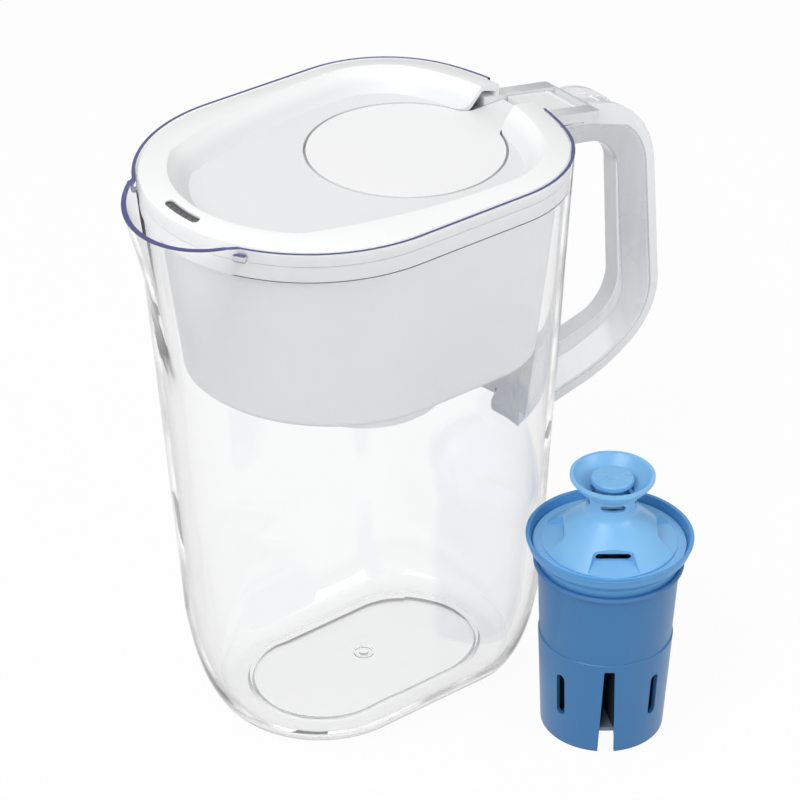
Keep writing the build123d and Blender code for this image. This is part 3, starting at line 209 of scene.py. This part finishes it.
def choose(share, if_zero, if_one):
    """One of two shaders by a value of 0 or 1."""
    node = tree.nodes.new("ShaderNodeMixShader")
    link(tree, share, node.inputs[0])
    link(tree, if_zero, node.inputs[1])
    link(tree, if_one, node.inputs[2])
    return node.outputs[0]


side = tree.nodes.new("ShaderNodeVectorMath")
side.operation = "DOT_PRODUCT"
side.inputs[1].default_value = BRIGHT_SIDE
link(tree, direction.outputs["Generated"], side.inputs[0])
side_share = tree.nodes.new("ShaderNodeMapRange")
side_share.inputs["From Min"].default_value = -1.0
side_share.inputs["To Min"].default_value = DIM_SIDE_SHARE
side_share.inputs["To Max"].default_value = BRIGHT_SIDE_SHARE
link(tree, side.outputs["Value"], side_share.inputs["Value"])
lit_room = background(height_ramp((0.0, ROOM_AROUND), (ROOM_TOP, ROOM_ABOVE)))
link(tree, side_share.outputs["Result"], lit_room.node.inputs["Strength"])
through_walls = background(1.0, ROOM_THROUGH_WALLS)
mirrored_room = background(height_ramp(MIRRORED_DARK, MIRRORED_WHITE))
light = choose(path.outputs["Is Transmission Ray"], lit_room, through_walls)
looks = choose(path.outputs["Is Camera Ray"], mirrored_room, background(1.0))
room_output = tree.nodes.new("ShaderNodeOutputWorld")
seen_first = combine(tree, "MULTIPLY", seen, first_hit)
link(tree, choose(seen_first, light, looks), room_output.inputs["Surface"])
print("floor disc:", FLOOR_RADIUS, "m, room light:", ROOM_AROUND, "to", ROOM_ABOVE)

# %% [markdown]
# Two softboxes give form. The larger hangs high at the left, as in the photograph, where the
# spout side is brighter and the reservoir's far flank falls off to a light grey. A weaker one
# opens the shadows at the handle.

# %% Softboxes
AIM = Vector((0, 0, 0.14))


def softbox(name, position, size, power):
    """A square area lamp that faces the pitcher."""
    lamp = bpy.data.lights.new(name, "AREA")
    lamp.shape = "SQUARE"
    lamp.size = size
    lamp.energy = power
    stand = bpy.data.objects.new(name, lamp)
    stand.location = position
    stand.rotation_euler = (AIM - Vector(position)).to_track_quat("-Z", "Y").to_euler()
    bpy.context.scene.collection.objects.link(stand)
    print(name, "of", power, "W stands at", position)


softbox("key_softbox", (-0.80, -0.35, 1.15), 0.7, 7.0)
softbox("handle_softbox", (0.45, -0.95, 0.60), 0.5, 3.2)

# %% [markdown]
# Most of the pitcher is injection moulded plastic. Its colour is even, but a closer look shows a
# faint satin grain, flow marks that change the gloss, and slightly uneven colour. One helper
# builds that from noise in the piece's own coordinates. It can also darken a piece below a
# height as painted shade. Each part then gets its own values.

# %% Moulded plastic
NOISE_LOW = 0.3
NOISE_HIGH = 0.7
PLASTIC_IOR = 1.49
TONE_SCALE = 14.0
GLOSS_SCALE = 45.0
BASIN_FLOOR = 0.0060
BASIN_EDGE = 0.0025


def new_finish(name):
    """A material with an empty principled surface, and the parts that the helpers need."""
    finish = bpy.data.materials.new(name)
    finish.use_nodes = True
    tree = finish.node_tree
    shader = tree.nodes["Principled BSDF"]
    coordinates = tree.nodes.new("ShaderNodeTexCoord")
    return finish, tree, shader, coordinates.outputs["Object"]


def cloud(tree, place, scale, detail=3.0):
    """Soft noise fixed to the piece, as a value from 0 to 1."""
    noise = tree.nodes.new("ShaderNodeTexNoise")
    noise.inputs["Scale"].default_value = scale
    noise.inputs["Detail"].default_value = detail
    link(tree, place, noise.inputs["Vector"])
    return noise.outputs["Fac"]


def spread(tree, value, low, high):
    """The value stretched between two levels."""
    stretch = tree.nodes.new("ShaderNodeMapRange")
    stretch.inputs["From Min"].default_value = NOISE_LOW
    stretch.inputs["From Max"].default_value = NOISE_HIGH
    stretch.inputs["To Min"].default_value = low
    stretch.inputs["To Max"].default_value = high
    link(tree, value, stretch.inputs["Value"])
    return stretch.outputs["Result"]


def tone(tree, value, dark, light):
    """A colour between two near tones."""
    mix = tree.nodes.new("ShaderNodeMix")
    mix.data_type = "RGBA"
    mix.inputs["A"].default_value = (*dark, 1)
    mix.inputs["B"].default_value = (*light, 1)
    link(tree, value, mix.inputs["Factor"])
    return mix.outputs["Result"]


def relief(tree, shader, height, depth):
    """Turn a height into a bump of that depth in metres."""
    bump = tree.nodes.new("ShaderNodeBump")
    bump.inputs["Strength"].default_value = 1.0
    bump.inputs["Distance"].default_value = depth
    link(tree, height, bump.inputs["Height"])
    link(tree, bump.outputs["Normal"], shader.inputs["Normal"])


def moulded(
    name, dark, light, rough_low, rough_high, grain=900.0, grain_depth=0.00002, painted_shade_below=None
):
    """Opaque moulded plastic with flow marks, a fine grain, and, if asked, painted shade below a
    height.
    """
    finish, tree, shader, place = new_finish(name)
    colour = tone(tree, cloud(tree, place, TONE_SCALE), dark, light)
    # Painted shade: below a height the colour fades to a darker tone.
    if painted_shade_below:
        low, high, shade_colour = painted_shade_below
        parts = tree.nodes.new("ShaderNodeSeparateXYZ")
        depth = tree.nodes.new("ShaderNodeMapRange")
        depth.inputs["From Min"].default_value = low
        depth.inputs["From Max"].default_value = high
        link(tree, place, parts.inputs[0])
        link(tree, parts.outputs["Z"], depth.inputs["Value"])
        shaded = tone(tree, depth.outputs["Result"], shade_colour, light)
        link(tree, colour, shaded.node.inputs["B"])
        colour = shaded
    link(tree, colour, shader.inputs["Base Color"])
    gloss = spread(tree, cloud(tree, place, GLOSS_SCALE), rough_low, rough_high)
    link(tree, gloss, shader.inputs["Roughness"])
    relief(tree, shader, cloud(tree, place, grain, 2.0), grain_depth)
    shader.inputs["IOR"].default_value = PLASTIC_IOR
    return finish


cover_white = moulded("cover_white", (0.90, 0.905, 0.915), (0.93, 0.935, 0.94), 0.24, 0.30)
LID_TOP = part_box("lid_shell")[1][2]
# Painted shade: the lid's basin is darker below its edge, where shade falls in the recess.
basin_painted_shade = (LID_TOP - BASIN_FLOOR, LID_TOP - BASIN_EDGE, (0.80, 0.808, 0.815))
lid_white = moulded(
    "lid_white", (0.87, 0.875, 0.88), (0.91, 0.912, 0.915), 0.34, 0.46, painted_shade_below=basin_painted_shade
)
door_white = moulded("door_white", (0.86, 0.863, 0.87), (0.90, 0.90, 0.905), 0.34, 0.46)
reservoir_white = moulded("reservoir_white", (0.80, 0.805, 0.82), (0.84, 0.845, 0.855), 0.40, 0.52)
grip_grey = moulded("grip_grey", (0.91, 0.915, 0.925), (0.94, 0.945, 0.95), 0.35, 0.48)
vent_grey = moulded("vent_grey", (0.10, 0.10, 0.105), (0.14, 0.14, 0.145), 0.35, 0.5)
print("the basin of the lid starts", BASIN_EDGE, "m below the lid's top at", round(LID_TOP, 4))

# %% [markdown]
# The jug is clear. Its walls are real solids with an inner and an outer face, so refraction draws
# most of the edge lines, and painted shade that grows at glancing angles deepens them. The walls
# stay smooth, because even a weak wave in them would look ground. The cut rim pipes light and
# shows a blue violet. A mask from the direction of the surface and its height puts that tint on
# the top of the rim alone, round the spout as well. The foot of the jug is finely textured, so a
# second mask over height makes it rougher there.

# %% Clear plastic
RIM_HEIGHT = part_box("pitcher_body")[1][2]
RIM_BAND = 0.008
RIM_BODY = 0.8
RIM_UPWARD = 0.55
FOOT_SMOOTH = 0.0075
FOOT_FROSTED = 0.0045
FOOT_ROUGHNESS = 0.34
WALL_BEND = 1.30
EDGE_SHARPNESS = 4.0
POLISH_SCALE = 30.0


def clear_plastic(name, tint, painted_edge_shade, roughness, rim_tint):
    """Clear moulded plastic with painted shade where it is seen edge on, and a coloured rim."""
    finish, tree, shader, place = new_finish(name)
    shader.inputs["IOR"].default_value = WALL_BEND
    shader.inputs["Coat Weight"].default_value = 0.2
    shader.inputs["Coat IOR"].default_value = PLASTIC_IOR
    shader.inputs["Coat Roughness"].default_value = 0.01
    shader.inputs["Specular IOR Level"].default_value = 0.3
    facing = tree.nodes.new("ShaderNodeTexCoord")
    slope = tree.nodes.new("ShaderNodeSeparateXYZ")
    parts = tree.nodes.new("ShaderNodeSeparateXYZ")
    link(tree, facing.outputs["Normal"], slope.inputs[0])
    link(tree, place, parts.inputs[0])
    low, high = roughness
    polish = spread(tree, cloud(tree, place, POLISH_SCALE), low, high)
    frost = tree.nodes.new("ShaderNodeMapRange")
    frost.inputs["From Min"].default_value = FOOT_FROSTED
    frost.inputs["From Max"].default_value = FOOT_SMOOTH
    frost.inputs["To Min"].default_value = FOOT_ROUGHNESS
    frost.inputs["To Max"].default_value = 0.0
    link(tree, parts.outputs["Z"], frost.inputs["Value"])
    link(tree, combine(tree, "ADD", polish, frost.outputs["Result"]), shader.inputs["Roughness"])
    upward = combine(tree, "GREATER_THAN", slope.outputs["Z"], RIM_UPWARD)
    high_up = combine(tree, "GREATER_THAN", parts.outputs["Z"], RIM_HEIGHT - RIM_BAND)
    mask = combine(tree, "MULTIPLY", upward, high_up)
    glance = tree.nodes.new("ShaderNodeLayerWeight")
    glance.inputs["Blend"].default_value = 0.5
    edge = combine(tree, "POWER", glance.outputs["Facing"], EDGE_SHARPNESS)
    # Painted shade: the colour darkens where the wall is seen edge on.
    body = tone(tree, edge, tint, painted_edge_shade)
    rim = tone(tree, mask, tint, rim_tint)
    link(tree, body, rim.node.inputs["A"])
    link(tree, rim, shader.inputs["Base Color"])
    opaque = combine(tree, "MULTIPLY", mask, -RIM_BODY)
    link(tree, combine(tree, "ADD", opaque, 1.0), shader.inputs["Transmission Weight"])
    return finish


jug_clear = clear_plastic(
    "jug_clear", (0.985, 0.987, 0.99), (0.26, 0.25, 0.27), (0.0, 0.02), (0.095, 0.10, 0.28)
)

# %% [markdown]
# A moulded wall is polished, but the model's triangles are long and uneven, and a clear wall
# magnifies the small errors in their normals into ripples. A copy of the jug keeps every point in
# its place and only gets calmer normals. Each one is read from a plane fitted through the normals
# of its neighbours on the same smooth face, so curves stay and noise goes, and a sharp edge stays
# sharp because the two sides of it point different ways. The lid and the handle's cover get the
# same, and the lid takes a wider angle, since its nose is tightly rounded.

# %% Calm the normals
CALM_REACH = 0.009
CALM_ROUNDS = 2
FEWEST_NEIGHBOURS = 8
SAME_WALL = cos(radians(14))
SAME_RING = cos(radians(38))


def calm_copy(name, node, body, finish, same_face=SAME_WALL):
    """A copy of a node's mesh whose normals follow a plane fitted to those around them."""
    mesh = nodes[node].data.copy()
    mesh.name = name
    points = numpy.array([vertex.co for vertex in mesh.vertices])
    normals = numpy.zeros_like(points)
    for loop, normal in zip(mesh.loops, mesh.corner_normals):
        normals[loop.vertex_index] = normal.vector
    finder = KDTree(len(points))
    for index, point in enumerate(points):
        finder.insert(point, index)
    finder.balance()
    around = [[hit[1] for hit in finder.find_range(point, CALM_REACH)] for point in points]
    for _ in range(CALM_ROUNDS):
        calmer = normals.copy()
        for index, near in enumerate(around):
            near = numpy.array(near)
            near = near[normals[near] @ normals[index] > same_face]
            if len(near) < FEWEST_NEIGHBOURS:
                continue
            steps = (points[near] - points[index]) / CALM_REACH
            offsets = numpy.column_stack((numpy.ones(len(near)), steps))
            fit = numpy.linalg.lstsq(offsets, normals[near], rcond=1e-3)[0][0]
            calmer[index] = fit / numpy.linalg.norm(fit)
        normals = calmer
    mesh.normals_split_custom_set_from_vertices(normals.tolist())
    piece = bpy.data.objects.new(name, mesh)
    bpy.context.scene.collection.objects.link(piece)
    for material_slot in piece.material_slots:
        material_slot.material = finish
    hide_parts(node)
    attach(piece, body)
    print(name, "has", len(mesh.vertices), "points and", len(mesh.polygons), "faces")


calm_copy("jug_wall", "pitcher_body", "pitcher", jug_clear)
calm_copy("lid_ring", "lid_shell", "lid", lid_white, same_face=SAME_RING)
calm_copy("handle_strap", "handle_cover", "pitcher", cover_white)

# %% [markdown]
# The core of the handle is the same plastic, but it is thick and lies on the white cover. True
# refraction in such a thick bar only breaks the picture up, so the core is a pale cool body under
# a clear coat. Painted shade makes it greyer high up and paler towards the lower root. Long
# faint streaks paint in light and shade for what the bar would bend.

# %% Core of the handle
CORE_LIGHT_BELOW = 0.125
CORE_SHADED_ABOVE = 0.175
STREAK_SCALE = (260.0, 40.0, 12.0)
STREAK_SHARE = 0.12
CORE_GLOSS_SCALE = 40.0


def milky_plastic(name, deep, pale, roughness):
    """Thick clear plastic over white: a cool body under a clear coat, with painted shade, greyer
    high up and paler low down, and painted streaks.
    """
    finish, tree, shader, place = new_finish(name)
    parts = tree.nodes.new("ShaderNodeSeparateXYZ")
    height = tree.nodes.new("ShaderNodeMapRange")
    height.inputs["From Min"].default_value = CORE_LIGHT_BELOW
    height.inputs["From Max"].default_value = CORE_SHADED_ABOVE
    link(tree, place, parts.inputs[0])
    link(tree, parts.outputs["Z"], height.inputs["Value"])
    long_way = tree.nodes.new("ShaderNodeMapping")
    long_way.inputs["Scale"].default_value = STREAK_SCALE
    link(tree, place, long_way.inputs["Vector"])
    streaks = cloud(tree, long_way.outputs["Vector"], 1.0, 2.0)
    uneven = spread(tree, streaks, -STREAK_SHARE, STREAK_SHARE)
    # Painted shade and streaks: greyer high up, paler low down, with streaks of painted light and
    # shade.
    depth = combine(tree, "ADD", height.outputs["Result"], uneven)
    link(tree, tone(tree, depth, pale, deep), shader.inputs["Base Color"])
    low, high = roughness
    gloss = spread(tree, cloud(tree, place, CORE_GLOSS_SCALE), low, high)
    link(tree, gloss, shader.inputs["Roughness"])
    shader.inputs["IOR"].default_value = PLASTIC_IOR
    shader.inputs["Coat Weight"].default_value = 0.7
    shader.inputs["Coat Roughness"].default_value = 0.05
    return finish


handle_clear = milky_plastic(
    "handle_clear", (0.66, 0.67, 0.705), (0.93, 0.935, 0.945), (0.26, 0.30)
)
# The core's painted shade runs from pale at the lower height to grey at the upper one.
print("core: pale below", CORE_LIGHT_BELOW, "m, deep above", CORE_SHADED_ABOVE, "m")

# %% [markdown]
# The cartridge is one strong sky blue throughout, a little glossier than the lid. The cap and the
# button are moulded from the same stock. They stand free and are lit from above, so their blue is
# painted paler as painted light. The cup is painted darker below its lip as painted shade. The
# thin soft ring under the lip is as deep as the cup there, but duller.

# %% Cartridge finishes
CUP_GRAIN = 1100.0
CUP_SHADE_FULL = 0.013
CUP_SHADE_START = 0.009
LIP_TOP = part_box("cartridge_shell")[1][2]
# Painted shade: below the lip the cup fades to a darker blue.
cup_painted_shade = (LIP_TOP - CUP_SHADE_FULL, LIP_TOP - CUP_SHADE_START, (0.036, 0.178, 0.415))
cup_blue = moulded(
    "cup_blue", (0.085, 0.31, 0.63), (0.095, 0.33, 0.66), 0.32, 0.38, CUP_GRAIN, painted_shade_below=cup_painted_shade
)
# Painted light: the cap and the button get a paler blue than the cup because they stand free and
# are lit from above.
cap_blue = moulded("cap_blue", (0.22, 0.525, 0.86), (0.235, 0.545, 0.88), 0.28, 0.34, CUP_GRAIN)
button_blue = moulded(
    "button_blue", (0.20, 0.50, 0.84), (0.215, 0.52, 0.86), 0.26, 0.32, CUP_GRAIN
)
ring_blue = moulded("ring_blue", (0.05, 0.18, 0.42), (0.06, 0.21, 0.47), 0.45, 0.60, 1500.0)
pleat_dark = moulded(
    "pleat_dark", (0.010, 0.020, 0.042), (0.018, 0.032, 0.062), 0.75, 0.9, 2600.0, 0.00012
)
core_grey = moulded("core_grey", (0.20, 0.24, 0.30), (0.24, 0.28, 0.34), 0.5, 0.6)
screen_blue = moulded("screen_blue", (0.020, 0.055, 0.12), (0.028, 0.07, 0.15), 0.5, 0.65)
# The cup is painted darker below this height, as painted shade.
print("the cup is deep blue below", round(LIP_TOP - CUP_SHADE_FULL, 4), "m")

# %% [markdown]
# Hinge pins are drawn steel rod: bright, with fine lines along the rod from the die.

# %% Pin steel
DRAWN_SCALE = (4000.0, 60.0, 4000.0)


def drawn_steel(name):
    """Bright steel with fine lines along the pin."""
    finish, tree, shader, place = new_finish(name)
    grey = tone(tree, cloud(tree, place, 300.0), (0.50, 0.51, 0.53), (0.60, 0.61, 0.63))
    link(tree, grey, shader.inputs["Base Color"])
    shader.inputs["Metallic"].default_value = 1.0
    stretch = tree.nodes.new("ShaderNodeMapping")
    stretch.inputs["Scale"].default_value = DRAWN_SCALE
    link(tree, place, stretch.inputs["Vector"])
    lines = cloud(tree, stretch.outputs["Vector"], 1.0, 2.0)
    link(tree, spread(tree, lines, 0.22, 0.38), shader.inputs["Roughness"])
    relief(tree, shader, lines, 0.00001)
    return finish


pin_steel = drawn_steel("pin_steel")
print("materials in the scene:", len(bpy.data.materials))

# %% [markdown]
# Every solid of the model keeps its shape and gets its finish in its own material slots.

# %% Dress the pieces
dress = {
    "pitcher_body": jug_clear,
    "handle_core": handle_clear,
    "handle_cover": cover_white,
    "handle_grip": grip_grey,
    "reservoir": reservoir_white,
    "lid_shell": lid_white,
    "vent_insert": vent_grey,
    "fill_door": door_white,
    "thumb_lever": cover_white,
    "door_hinge_pins": pin_steel,
    "lever_pins": pin_steel,
    "cartridge_shell": cup_blue,
    "cartridge_cap": cap_blue,
    "knob_button": button_blue,
    "seal_ring": ring_blue,
    "filter_pleats": pleat_dark,
    "core_tube": core_grey,
    "filter_end_cap_low": core_grey,
    "filter_end_cap_top": core_grey,
    "inlet_screen": screen_blue,
}
for node, finish in dress.items():
    for material_slot in nodes[node].material_slots:
        material_slot.material = finish
print("dressed:", len(dress), "of", len(nodes))
